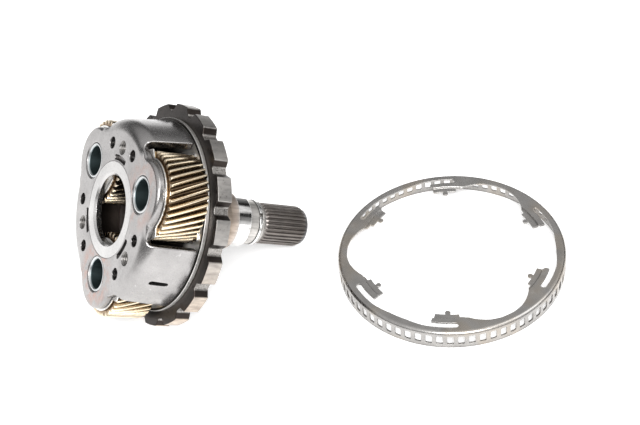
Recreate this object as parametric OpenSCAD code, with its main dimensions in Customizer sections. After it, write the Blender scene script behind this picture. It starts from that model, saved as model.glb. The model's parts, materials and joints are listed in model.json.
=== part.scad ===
// Planet carrier assembly of an automatic transmission with its output shaft and parking gear,
// and the slotted speed-sensor ring that clips round it. Millimetres, +Z up.
//
// Every carrier piece is drawn about the carrier's own axis: z runs along the axis towards the
// shaft, z = 0 is the parking gear's front face, and angles run from the top of the gear.
// place_carrier() then lays it down as it rests on a table, on the gear's rim and the shaft's end.

/* [Parking gear] */
// Radius over the lands
gear_r = 80; // [76:0.5:84]
// Width along the axis
gear_w = 11; // [8:0.5:14]
// Number of lands
land_count = 17; // [17:1:17]
// Share of a pitch that a land covers at its tip
land_share = 0.56; // [0.45:0.01:0.65]
// Depth of the gaps between the lands
gap_depth = 5; // [3:0.5:7]
// Share of a gap that its floor covers
floor_share = 0.36; // [0.2:0.02:0.6]

/* [Carrier cage] */
// Distance from the front plate's face to the parking gear's face
cage_depth = 40.8; // [38:0.2:44]
// Thickness of the front plate
plate_t = 5.4; // [4:0.2:6]
// Thickness of the drawn legs
leg_t = 4; // [3:0.5:5]
// Outer radius of the legs where the front bend ends
leg_front_r = 65; // [63:0.5:67]
// Outer radius of the legs at the rear plate
leg_rear_r = 67.5; // [66:0.5:69]
// Outer radius of the bend between the front plate and the legs
bend_r = 10; // [6:1:12]
// Half of the angle that a leg covers
leg_half_angle = 26; // [20:1:28]
// Radius of the plate between its lobes and its legs
notch_r = 57.5; // [56:0.5:60]
// Radius of a pin lobe about its pin
lobe_r = 24.5; // [22:0.5:26]
// Radius of the tapped holes' circle
tapped_circle_r = 45; // [43:0.5:47]
// Radius of a tapped hole's wall
tapped_r = 4.25; // [3:0.25:5]
// Radius of the plain holes' circle
plain_circle_r = 47.3; // [45:0.1:49]
// Radius of a plain hole
plain_r = 4.2; // [3:0.1:4.6]
// Angle between a tapped hole and the plain holes beside it
plain_angle = 21.6; // [20:0.2:23]

/* [Hub ring] */
// Radius of the bore that the sun gear passes through
hub_bore_r = 24.6; // [23:0.1:26]
// Outer radius of the pressed-in ring
hub_r = 35; // [33:0.5:37]

/* [Rear plate] */
// Radius of the rim in front of the parking gear
rim_r = 69.5; // [68:0.5:71]
// Width of the rim
rim_w = 3; // [2:0.5:4]
// Radius of the boss that the parking gear is pressed on
boss_r = 60.5; // [58:0.5:62]
// Length of the boss behind the rim
boss_l = 6; // [4:0.5:10]

/* [Pins and pinions] */
// Number of planet pinions
planet_count = 3; // [3:1:3]
// Radius of the pin circle
pin_circle_r = 47.9; // [47:0.1:49]
// Angle of the first pin
pin_angle = 43; // [40:1:46]
// Outer radius of a pin
pin_r = 12.8; // [11:0.1:13.5]
// Radius of the hole along a pin
pin_bore_r = 10.4; // [8:0.1:11]
// Teeth on a pinion
pinion_teeth = 36; // [36:1:36]
// Teeth on the sun gear that the pinions are cut for
sun_teeth = 24; // [24:1:24]
// Helix angle, left-handed
helix_angle = 20; // [12:1:26]
// Diameter of a needle roller
needle_d = 3; // [2.5:0.25:3.5]
// Radial clearance on each side of the needles
needle_gap = 0.03; // [0.02:0.01:0.05]
// Thickness of each thrust washer
washer_t = 0.9; // [0.7:0.1:1.0]
// Axial play on each side of a pinion
pinion_play = 0.15; // [0.1:0.05:0.3]
// Outer radius of the steel thrust washers
washer_r = 26; // [25:0.5:27]

/* [Output shaft] */
// Distance from the parking gear's front face to the shaft's end
shaft_l = 118.5; // [110:0.5:130]
// Radius of the flange behind the rear plate
flange_r = 33; // [30:1:34]
// Radius of the collar in front of the journal
collar_r = 21.5; // [20:0.5:22]
// Radius of the ground journal
journal_r = 19; // [18:0.5:19.5]
// Radius behind the journal
shoulder_r = 16.6; // [16.2:0.1:17]
// Radius over the splines
spline_r = 15.5; // [15:0.5:16]
// Radius between the splines
spline_root_r = 14.4; // [13.8:0.1:14.6]
// Number of splines
spline_count = 30; // [24:1:36]
// Radius of the chamfered end face
shaft_end_r = 13.5; // [13:0.5:14]
// Radius of the bush's bore in the shaft's front end
pilot_r = 10; // [8:0.5:11]

/* [Sensor ring] */
// Outer radius
ring_r = 84.2; // [83:0.1:87]
// Height of the band
ring_h = 14.6; // [13:0.2:16]
// Thickness of the sheet
sheet_t = 1.3; // [1:0.1:1.6]
// Number of square windows
window_count = 69; // [69:3:69]
// Width of a window round the band
window_w = 4.6; // [4:0.1:5]
// Height of a window
window_h = 7.4; // [6:0.1:8]
// Half of the angle between the two tongues of a pair
tab_half_angle = 27; // [25:0.5:29]
// Angle of the first pair of tabs
ring_angle = -29.3; // [-40:0.1:-20]

/* [Table] */
// Place of the parking gear's front face centre along the table
carrier_x = -100.1; // [-110:0.1:-90]
// Place of the carrier across the table
carrier_y = 44.8; // [30:0.1:60]
// Place of the ring along the table
ring_x = 87.5; // [80:0.1:100]
// Place of the ring across the table
ring_y = -40.6; // [-60:0.1:-30]

/* [Hidden] */
$fn = 96;
eps = 0.05;
land_pitch = 360 / land_count;
land_half = land_pitch * land_share / 2;
floor_half = land_pitch * (1 - land_share) * floor_share / 2;
// A gap lies straight down, so that the gear rests on the edges of two lands.
bottom_gap = 7.5;
first_land = 180 - bottom_gap * land_pitch;
rest_r = gear_r * cos(land_pitch / 2 - land_half);
tilt = atan((rest_r - shaft_end_r) / (shaft_l - gear_w));
gear_height = rest_r * cos(tilt) + gear_w * sin(tilt);
front_z = -cage_depth;
plate_z = front_z + plate_t;
rear_z = -rim_w;
pin_step = 360 / planet_count;
window_half = pin_step / 2 - leg_half_angle;
pinion_front = plate_z + 2 * washer_t + pinion_play;
pinion_l = rear_z - 2 * washer_t - pinion_play - pinion_front;
pinion_pitch_r = pin_circle_r * pinion_teeth / (pinion_teeth + sun_teeth);
pinion_module = 2 * pinion_pitch_r / pinion_teeth;
pinion_tip_r = pinion_pitch_r + pinion_module * 0.97;
pinion_root_r = pinion_pitch_r - pinion_module * 1.25;
pinion_twist = pinion_l * tan(helix_angle) / pinion_pitch_r * 180 / PI;
needle_circle_r = pin_r + needle_gap + needle_d / 2;
pinion_bore_r = needle_circle_r + needle_d / 2 + needle_gap;
needle_count = floor(2 * PI * needle_circle_r / (needle_d + 0.05));
needle_l = pinion_l - 4;
pin_recess = 0.6;
pin_tail = 5;
slot_l = 14;
slot_w = 3.6;
slot_z = -21;
pocket_w = 4;
pocket_depth = 2.4;
pocket_half_angle = 15;
collar_z = 53;
journal_z = 65;
groove_z = 73;
groove_w = 3;
groove_r = 14.8;
spline_z = 80;
chamfer_l = 4.5;
spigot_r = 20;
flange_t = 4;
bush_r = 12;
bush_l = 20;
ring_fillet = 3;
flange_in_r = 78.2;
arm_out_r = 74.2;
arm_r = 69.5;
tongue_in_r = 65;
tab_t = 1.2;
tongue_drop = 1.2;
tongue_r = 63.3;
tongue_w = 4;

function polar(r, a) = [r * cos(a), r * sin(a)];
function arc(c, r, a0, a1, n) =
  [for (i = [0 : n]) c + polar(r, a0 + (a1 - a0) * i / n)];

// Lays a piece drawn about the carrier's axis down on the table.
module place_carrier() {
  translate([carrier_x, carrier_y, gear_height]) rotate([180, tilt - 90, 0]) children();
}

// Puts a piece drawn about the z axis on the axis of pin k.
module at_pin(k) {
  rotate(pin_angle + (k - 1) * pin_step) translate([pin_circle_r, 0, 0]) children();
}

module on_pins() {
  for (k = [1 : planet_count]) at_pin(k) children();
}

module on_legs() {
  for (k = [1 : planet_count]) rotate(pin_angle + (k - 0.5) * pin_step) children();
}

// A flat sector between two radii, either side of the x axis.
module sector(r0, r1, half) {
  polygon(concat(arc([0, 0], r1, -half, half, 16), arc([0, 0], r0, half, -half, 16)));
}

// Outline of the drawn cup: radius against place along the axis.
module cup_outline() {
  in_r = bend_r - leg_t;
  polygon(concat(
    [[hub_r, front_z]],
    arc([leg_front_r - bend_r, front_z + bend_r], bend_r, -90, 0, 8),
    [[leg_rear_r, rear_z], [leg_rear_r - leg_t, rear_z]],
    arc([leg_front_r - bend_r, plate_z + in_r], in_r, 0, -90, 6),
    [[hub_r, plate_z]]));
}

// The flat front plate: a disc inside the bend, wider between the legs, with a lobe round each pin.
module plate_outline() {
  circle(leg_front_r - bend_r);
  on_pins() circle(lobe_r);
  for (k = [1 : planet_count]) rotate(pin_angle + (k - 1) * pin_step)
    sector(pin_circle_r, notch_r, window_half + 0.5);
}

module carrier_cage() {
  color("silver") place_carrier() difference() {
    union() {
      difference() {
        rotate_extrude() cup_outline();
        for (k = [1 : planet_count])
          rotate(pin_angle + (k - 1) * pin_step) translate([0, 0, front_z - 1])
            linear_extrude(cage_depth) sector(pin_circle_r, gear_r, window_half);
      }
      translate([0, 0, front_z]) linear_extrude(plate_t) plate_outline();
    }
    translate([0, 0, front_z - 1]) cylinder(r = hub_r, h = plate_t + 2);
    on_pins() translate([0, 0, front_z - 1]) cylinder(r = pin_r, h = plate_t + 2);
    on_pins() translate([0, 0, front_z - eps]) cylinder(r1 = pin_r + 1.2, r2 = pin_r, h = 1.2);
    on_legs() translate([tapped_circle_r, 0, front_z - 1]) cylinder(r = tapped_r, h = plate_t + 2);
    for (side = [-1, 1]) on_legs() rotate(side * plain_angle)
      translate([plain_circle_r, 0, front_z - 1]) cylinder(r = plain_r, h = plate_t + 2);
    on_legs() translate([0, 0, front_z - 1]) linear_extrude(pocket_depth + 1)
      sector(hub_r - 1, hub_r + pocket_w, pocket_half_angle);
    oil_slot();
  }
}

// Slot with round ends through the leg that faces the near side.
module oil_slot() {
  rotate(pin_angle + pin_step / 2) translate([leg_front_r - leg_t - 2, 0, slot_z])
    rotate([0, 90, 0]) linear_extrude(leg_t + 8) {
      square([slot_l - slot_w, slot_w], center = true);
      for (end = [-1, 1]) translate([end * (slot_l - slot_w) / 2, 0]) circle(slot_w / 2);
    }
}

module hub_ring() {
  chamfer = 1.4;
  color("gainsboro") place_carrier() difference() {
    translate([0, 0, front_z]) cylinder(r = hub_r, h = plate_t);
    translate([0, 0, front_z - 1]) cylinder(r = hub_bore_r, h = plate_t + 2);
    translate([0, 0, front_z - eps])
      cylinder(r1 = hub_bore_r + chamfer, r2 = hub_bore_r, h = chamfer);
  }
}

module rear_plate() {
  color("dimgray") place_carrier() difference() {
    rotate_extrude() polygon([[spigot_r, rear_z], [rim_r - 0.8, rear_z], [rim_r, rear_z + 0.8],
      [rim_r, -0.8], [rim_r - 0.8, 0], [boss_r, 0], [boss_r, boss_l], [spigot_r, boss_l]]);
    on_pins() translate([0, 0, rear_z - 1]) cylinder(r = pin_r, h = rim_w + boss_l + 2);
  }
}

module gear_outline() {
  difference() {
    polygon([for (i = [0 : land_count - 1]) let (a = first_land + i * land_pitch) each concat(
      arc([0, 0], gear_r, a - land_half, a + land_half, 5),
      arc([0, 0], gear_r - gap_depth, a + land_pitch / 2 - floor_half,
        a + land_pitch / 2 + floor_half, 2))]);
    circle(boss_r);
  }
}

module park_gear() {
  color("rosybrown") place_carrier() difference() {
    linear_extrude(gear_w) gear_outline();
    translate([0, 0, -1]) cylinder(r = boss_r, h = gear_w + 2);
  }
}

module shaft_outline() {
  polygon([[0, rear_z], [spigot_r, rear_z], [spigot_r, boss_l], [flange_r, boss_l],
    [flange_r, boss_l + flange_t], [28, 14], [25, 22], [22.5, 34], [collar_r, 46],
    [collar_r, collar_z - 0.8], [journal_r, collar_z], [journal_r, journal_z - 0.6],
    [shoulder_r, journal_z], [shoulder_r, groove_z], [groove_r, groove_z],
    [groove_r, groove_z + groove_w], [shoulder_r, groove_z + groove_w],
    [shoulder_r, groove_z + groove_w + 1.4], [spline_root_r, groove_z + groove_w + 2.4],
    [spline_root_r, spline_z], [spline_root_r, shaft_l - 2], [shaft_end_r, shaft_l],
    [0, shaft_l]]);
}

module spline_outline() {
  pitch = 360 / spline_count;
  polygon([for (i = [0 : spline_count - 1]) let (a = i * pitch) each [
    polar(spline_root_r, a - pitch * 0.36), polar(spline_r, a - pitch * 0.18),
    polar(spline_r, a + pitch * 0.18), polar(spline_root_r, a + pitch * 0.36)]]);
}

module output_shaft() {
  color("darkgray") place_carrier() difference() {
    union() {
      rotate_extrude() shaft_outline();
      intersection() {
        translate([0, 0, spline_z]) linear_extrude(shaft_l - spline_z) spline_outline();
        rotate_extrude() polygon([[0, spline_z], [spline_root_r, spline_z],
          [spline_r + 0.1, spline_z + 1.2], [spline_r + 0.1, shaft_l - chamfer_l],
          [shaft_end_r, shaft_l], [0, shaft_l]]);
      }
    }
    translate([0, 0, rear_z - 1]) cylinder(r = bush_r, h = bush_l + 1);
    translate([0, 0, shaft_l - 8]) cylinder(r1 = 2, r2 = 3.4, h = 8 + eps);
  }
}

module pilot_bush() {
  color("peru") place_carrier() difference() {
    translate([0, 0, rear_z]) cylinder(r = bush_r, h = bush_l);
    translate([0, 0, rear_z - 1]) cylinder(r = pilot_r, h = bush_l + 2);
  }
}

// Split spring ring in the shaft's groove.
module shaft_snap_ring() {
  ring_out_r = 17.2;
  ring_wire = 2.2;
  gap_angle = 36;
  color("whitesmoke") place_carrier() difference() {
    translate([0, 0, groove_z + 0.3]) cylinder(r = ring_out_r, h = ring_wire);
    translate([0, 0, groove_z]) cylinder(r = groove_r + 0.1, h = ring_wire + 1);
    rotate(gap_angle) translate([0, -1.3, groove_z]) cube([ring_out_r + 2, 2.6, ring_wire + 1]);
  }
}

module pinion_pin(k) {
  front = front_z + pin_recess;
  color("slategray") place_carrier() at_pin(k) difference() {
    rotate_extrude() polygon([[0, front], [pin_r - 0.8, front], [pin_r, front + 0.8],
      [pin_r, pin_tail - 0.8], [pin_r - 0.8, pin_tail], [0, pin_tail]]);
    translate([0, 0, front - 1]) cylinder(r = pin_bore_r, h = pin_tail - front + 2);
  }
}

// Thrust washer with two ears that stand in the corners of the cage's window.
module washer(k, z, r, ear) {
  place_carrier() at_pin(k) translate([0, 0, z]) difference() {
    union() {
      cylinder(r = r, h = washer_t);
      for (side = [0, 1]) mirror([0, side, 0]) linear_extrude(washer_t)
        polygon([[-6, r - 6], [11, r - 6], [9, ear - 1], [2.5, ear], [-1, r + 1]]);
    }
    translate([0, 0, -1]) cylinder(r = pin_r + 0.3, h = washer_t + 2);
  }
}

module front_steel_washer(k) { color("lightgray") washer(k, plate_z, washer_r, 31); }
module front_bronze_washer(k) { color("goldenrod") washer(k, plate_z + washer_t, washer_r - 0.6, 29.5); }
module rear_bronze_washer(k) { color("goldenrod") washer(k, rear_z - 2 * washer_t, washer_r - 0.6, 29.5); }
module rear_steel_washer(k) { color("lightgray") washer(k, rear_z - washer_t, washer_r, 31); }

// Transverse section of the helical pinion.
module tooth_outline() {
  pitch = 360 / pinion_teeth;
  polygon([for (i = [0 : pinion_teeth - 1]) let (a = i * pitch) each [
    polar(pinion_root_r, a - pitch * 0.40), polar(pinion_pitch_r, a - pitch * 0.24),
    polar(pinion_tip_r, a - pitch * 0.11), polar(pinion_tip_r, a + pitch * 0.11),
    polar(pinion_pitch_r, a + pitch * 0.24), polar(pinion_root_r, a + pitch * 0.40)]]);
}

module pinion(k) {
  color("burlywood") place_carrier() at_pin(k) difference() {
    translate([0, 0, pinion_front])
      linear_extrude(pinion_l, twist = pinion_twist, slices = 6) tooth_outline();
    translate([0, 0, pinion_front - 1]) cylinder(r = pinion_bore_r, h = pinion_l + 2);
  }
}

// Full row of loose needles between a pin and its pinion.
module needle_rollers(k) {
  color("lightsteelblue") place_carrier() at_pin(k)
    for (i = [0 : needle_count - 1]) rotate(i * 360 / needle_count)
      translate([needle_circle_r, 0, pinion_front + (pinion_l - needle_l) / 2])
        cylinder(d = needle_d, h = needle_l, $fn = 24);
}

// Band with a rolled-over top edge and a narrow flange inside it.
module band_outline() {
  polygon(concat(
    [[ring_r - sheet_t, 0], [ring_r, 0]],
    arc([ring_r - ring_fillet, ring_h - ring_fillet], ring_fillet, 0, 90, 6),
    [[flange_in_r, ring_h], [flange_in_r, ring_h - sheet_t]],
    arc([ring_r - ring_fillet, ring_h - ring_fillet], ring_fillet - sheet_t, 90, 0, 4)));
}

// Flat web that widens from the flange into a spring arm, on one side of a pair's middle.
module arm_outline() {
  tip = 18.2;
  root = 33;
  polygon(concat(
    arc([0, 0], arm_out_r, tip, root - 1.6, 6),
    [polar(arm_out_r + 0.7, root - 0.4), polar(arm_out_r + 2, root),
     polar(flange_in_r - 0.7, root - 0.4), polar(flange_in_r + 0.3, root - 1.8)],
    arc([0, 0], flange_in_r + 1.1, root - 1.8, 60.4, 10),
    [polar(77.4, 60.4), polar(77.2, 55), polar(75.9, 50), polar(73.6, 45), polar(70.6, 40)],
    arc([0, 0], arm_r - 1.4, 37, tip, 8)));
}

// Slightly wider flange in the middle of a pair.
module flange_lip() {
  polygon(concat(
    [polar(76.8, -0.4), polar(76.9, 5), polar(77.6, 10), polar(flange_in_r + 0.4, 16)],
    arc([0, 0], flange_in_r + 0.9, 16, -0.4, 4)));
}

// Stepped-down tongue plate with a small round nose that points at the axis.
module tongue_outline() {
  polygon(concat(
    arc([0, 0], arm_r + 0.2, 18.6, 34.2, 6),
    arc([0, 0], tongue_in_r, 34.2, 18.6, 6)));
  rotate(tab_half_angle) {
    translate([tongue_r, 0]) circle(d = tongue_w, $fn = 24);
    translate([tongue_r, -1.4]) square([arm_r - 2 - tongue_r, 2.8]);
  }
}

module sensor_ring() {
  color("darkgray") translate([ring_x, ring_y, 0]) rotate(ring_angle) {
    difference() {
      rotate_extrude() band_outline();
      for (i = [0 : window_count - 1]) rotate((i + 0.5) * 360 / window_count)
        translate([ring_r - sheet_t - 1, -window_w / 2, (ring_h - window_h) / 2 + 0.1])
          cube([sheet_t + 3, window_w, window_h]);
    }
    for (k = [0 : 2], side = [0, 1]) rotate(k * 120) mirror([0, side, 0]) {
      translate([0, 0, ring_h - tab_t]) linear_extrude(tab_t) { arm_outline(); flange_lip(); }
      translate([0, 0, ring_h - tab_t - tongue_drop]) linear_extrude(tab_t + 0.1) tongue_outline();
    }
  }
}

carrier_cage();
hub_ring();
rear_plate();
park_gear();
output_shaft();
pilot_bush();
shaft_snap_ring();
pinion_pin(1);  // pinion_pin_1
pinion_pin(2);  // pinion_pin_2
pinion_pin(3);  // pinion_pin_3
front_steel_washer(1);  // front_steel_washer_1
front_steel_washer(2);  // front_steel_washer_2
front_steel_washer(3);  // front_steel_washer_3
front_bronze_washer(1);  // front_bronze_washer_1
front_bronze_washer(2);  // front_bronze_washer_2
front_bronze_washer(3);  // front_bronze_washer_3
rear_bronze_washer(1);  // rear_bronze_washer_1
rear_bronze_washer(2);  // rear_bronze_washer_2
rear_bronze_washer(3);  // rear_bronze_washer_3
rear_steel_washer(1);  // rear_steel_washer_1
rear_steel_washer(2);  // rear_steel_washer_2
rear_steel_washer(3);  // rear_steel_washer_3
pinion(1);  // pinion_1
pinion(2);  // pinion_2
pinion(3);  // pinion_3
needle_rollers(1);  // needle_rollers_1
needle_rollers(2);  // needle_rollers_2
needle_rollers(3);  // needle_rollers_3
sensor_ring();
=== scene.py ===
import json
import math
import bmesh
import bpy
import numpy as np
from mathutils import Matrix, Vector
from mathutils.geometry import delaunay_2d_cdt


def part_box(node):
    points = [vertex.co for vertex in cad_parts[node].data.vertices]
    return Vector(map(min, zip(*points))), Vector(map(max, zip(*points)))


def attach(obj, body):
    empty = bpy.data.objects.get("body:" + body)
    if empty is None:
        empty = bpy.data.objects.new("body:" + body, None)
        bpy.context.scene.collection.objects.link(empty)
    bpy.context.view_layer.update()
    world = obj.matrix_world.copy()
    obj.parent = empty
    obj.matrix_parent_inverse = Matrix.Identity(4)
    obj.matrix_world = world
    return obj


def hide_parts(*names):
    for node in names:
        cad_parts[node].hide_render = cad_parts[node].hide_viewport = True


# Looks of a planet carrier assembly and its loose sensor ring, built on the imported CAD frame.
# Shapes are drawn in millimetres in the frame of their own part. In the carrier's frame z runs
# along the shaft from the parking gear's front face, and angles run from the top of the gear.

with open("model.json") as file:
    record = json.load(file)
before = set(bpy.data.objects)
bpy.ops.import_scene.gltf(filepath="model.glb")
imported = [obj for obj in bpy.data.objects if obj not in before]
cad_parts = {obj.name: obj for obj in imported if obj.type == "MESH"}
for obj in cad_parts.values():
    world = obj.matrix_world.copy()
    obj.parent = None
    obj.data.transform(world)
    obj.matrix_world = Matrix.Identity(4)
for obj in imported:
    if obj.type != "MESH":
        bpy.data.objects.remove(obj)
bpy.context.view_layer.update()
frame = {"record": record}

MM = 0.001
SHARP_ANGLE = math.radians(32)
ROUND_STEP = math.radians(12)

# ---------------------------------------------------------------- frames
mounts = {m["name"]: m for m in frame["record"]["mounts"]}
HUB_MOUNT_TO_GEAR = 37.4
PIN_CIRCLE_R = 47.9
PIN_ANGLES = (43, 163, 283)
LEG_ANGLES = (103, 223, 343)
RING_ANGLE = -29.3


def carrier_frame():
    """Frame of the carrier: z along the shaft, x up to the top of the parking gear."""
    axis = Vector(mounts["journal"]["axis"]).normalized()
    centre = Vector(mounts["hub_bore"]["pos_m"]) + axis * HUB_MOUNT_TO_GEAR * MM
    side = Vector((0, -1, 0))
    up = side.cross(axis)
    turn = Matrix((up, side, axis)).transposed().to_4x4()
    return Matrix.Translation(centre) @ turn


def spin(degrees):
    return Matrix.Rotation(math.radians(degrees), 4, "Z")


def pin_frame(angle):
    return CARRIER @ spin(angle) @ Matrix.Translation((PIN_CIRCLE_R * MM, 0, 0))


def ring_frame():
    low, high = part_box("sensor_ring")
    middle = (low + high) / 2
    return Matrix.Translation((middle.x, middle.y, low.z)) @ spin(RING_ANGLE)


CARRIER = carrier_frame()
RING = ring_frame()


# ---------------------------------------------------------------- outlines
def polar(r, degrees):
    a = math.radians(degrees)
    return np.array((r * math.cos(a), r * math.sin(a)))


def arc(centre, r, start, end, step=2.5):
    """Points of an arc from one angle to another, in degrees."""
    count = max(2, math.ceil(abs(end - start) / step))
    return [np.asarray(centre) + polar(r, a) for a in np.linspace(start, end, count + 1)]


def circle(centre, r, count=48):
    return [np.asarray(centre) + polar(r, a) for a in np.arange(count) * 360 / count]


def rounded(corners, closed=True):
    """Line through corners (x, y, radius), with a round of that radius at each corner."""
    points = []
    count = len(corners)
    for i, (x, y, r) in enumerate(corners):
        here = np.array((x, y), float)
        if r == 0 or (not closed and i in (0, count - 1)):
            points.append(here)
            continue
        back = np.array(corners[i - 1][:2], float) - here
        ahead = np.array(corners[(i + 1) % count][:2], float) - here
        back /= np.linalg.norm(back)
        ahead /= np.linalg.norm(ahead)
        half = math.acos(np.clip(back @ ahead, -1, 1)) / 2
        middle = (back + ahead) / np.linalg.norm(back + ahead)
        centre = here + middle * r / math.sin(half)
        first = here + back * r / math.tan(half) - centre
        last = here + ahead * r / math.tan(half) - centre
        start = math.atan2(first[1], first[0])
        turn = (math.atan2(last[1], last[0]) - start + math.pi) % (2 * math.pi) - math.pi
        steps = max(2, math.ceil(abs(turn) / ROUND_STEP))
        points += [centre + r * np.array((math.cos(start + turn * k / steps),
                                          math.sin(start + turn * k / steps)))
                   for k in range(steps + 1)]
    return points


def subdivided(points, step, closed=True):
    """The same line with extra points, so that no stretch is longer than step."""
    out = []
    ends = points[1:] + points[:1] if closed else points[1:]
    for a, b in zip(points, ends):
        pieces = max(1, math.ceil(np.linalg.norm(b - a) / step))
        out += [a + (b - a) * k / pieces for k in range(pieces)]
    return out if closed else out + [points[-1]]


def around(corners, at_r, step, full_turn=False):
    """Closed outline from corners (degrees, radius, round), with arcs where the radius is kept.

    With full_turn the outline runs once round the axis, and its last corner joins its first.
    """
    flat = [(math.radians(a) * at_r, r, fillet) for a, r, fillet in corners]
    if full_turn:
        lap = 2 * math.pi * at_r
        (x0, y0, r0), (x1, y1, r1) = flat[0], flat[-1]
        line = rounded([(x1 - lap, y1, r1), *flat, (x0 + lap, y0, r0)], closed=False)[1:-1]
        line = subdivided(line + [line[0] + (lap, 0)], step, closed=False)[:-1]
    else:
        line = subdivided(rounded(flat), step)
    return [polar(y, math.degrees(x / at_r)) for x, y in line]


def turned(points, degrees):
    a = math.radians(degrees)
    turn = np.array(((math.cos(a), math.sin(a)), (-math.sin(a), math.cos(a))))
    return [p @ turn for p in points]


# ---------------------------------------------------------------- solids
def strips(rows, columns, closed_rows):
    """Quads of a grid of rows that each run once round the axis."""
    faces = []
    last = rows if closed_rows else rows - 1
    for i in range(last):
        a, b = i * columns, (i + 1) % rows * columns
        faces += [(a + j, b + j, b + (j + 1) % columns, a + (j + 1) % columns)
                  for j in range(columns)]
    return faces


def grid_solid(rows, closed_rows):
    """Solid from rows of points round the axis. A row on the axis closes an end."""
    rows = [np.asarray(row, float) for row in rows]
    columns = len(rows[0])
    verts = np.concatenate(rows)
    faces = strips(len(rows), columns, closed_rows)
    on_axis = np.hypot(verts[:, 0], verts[:, 1]) < 1e-6
    lead = np.arange(len(verts))
    lead[on_axis] = lead[on_axis] // columns * columns
    used, renumber = np.unique(lead, return_inverse=True)
    kept = []
    for face in faces:
        ring = [int(renumber[v]) for v in face]
        ring = [v for i, v in enumerate(ring) if v != ring[i - 1]]
        if len(ring) > 2:
            kept.append(tuple(ring))
    return verts[used], kept, None


def lathe(corners, columns=240):
    """Solid of revolution from profile corners (radius, z, round)."""
    profile = rounded(corners)
    on_axis = min(r for r, _ in profile) < 1e-6
    turn = np.radians(np.arange(columns) * 360 / columns)
    rows = [np.column_stack((r * np.cos(turn), r * np.sin(turn), np.full(columns, z)))
            for r, z in profile]
    return grid_solid(rows, closed_rows=not on_axis)


def joined(solids):
    """Several solids in one mesh, with their corner normals if they all have them."""
    verts, faces, normals, start = [], [], [], 0
    for v, f, n in solids:
        verts.append(np.asarray(v, float))
        faces += [tuple(i + start for i in face) for face in f]
        normals.append(n)
        start += len(v)
    whole = None if any(n is None for n in normals) else np.concatenate([np.asarray(n) for n in normals])
    return np.concatenate(verts), faces, whole


def signed_area(points):
    p = np.asarray(points)
    q = np.roll(p, -1, axis=0)
    return float(np.sum(p[:, 0] * q[:, 1] - q[:, 0] * p[:, 1])) / 2


def inside(points, loop):
    """Which points lie inside a closed loop."""
    p = np.asarray(points)
    a = np.asarray(loop)
    b = np.roll(a, -1, axis=0)
    hit = np.zeros(len(p), bool)
    for (x0, y0), (x1, y1) in zip(a, b):
        if y0 == y1:
            continue
        spans = (p[:, 1] >= min(y0, y1)) & (p[:, 1] < max(y0, y1))
        cross = x0 + (p[:, 1] - y0) / (y1 - y0) * (x1 - x0)
        hit ^= spans & (p[:, 0] < cross)
    return hit


def insets(points):
    """Step at each point that moves a closed loop one unit into the material on its left."""
    least_lean = 0.6  # keeps the step short at a sharp corner
    p = np.asarray(points)
    edge = np.roll(p, -1, axis=0) - p
    edge /= np.linalg.norm(edge, axis=1)[:, None]
    left = np.column_stack((-edge[:, 1], edge[:, 0]))
    before = np.roll(left, 1, axis=0)
    lean = 1 + np.sum(left * before, axis=1)
    return (left + before) / np.maximum(lean, least_lean)[:, None]


def hole(points, front=0.4, back=0.3, pocket=None):
    """A hole's loop with the rounds of its edges, or a pocket of that depth."""
    return {"points": points, "front": front, "back": back, "pocket": pocket}


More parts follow.
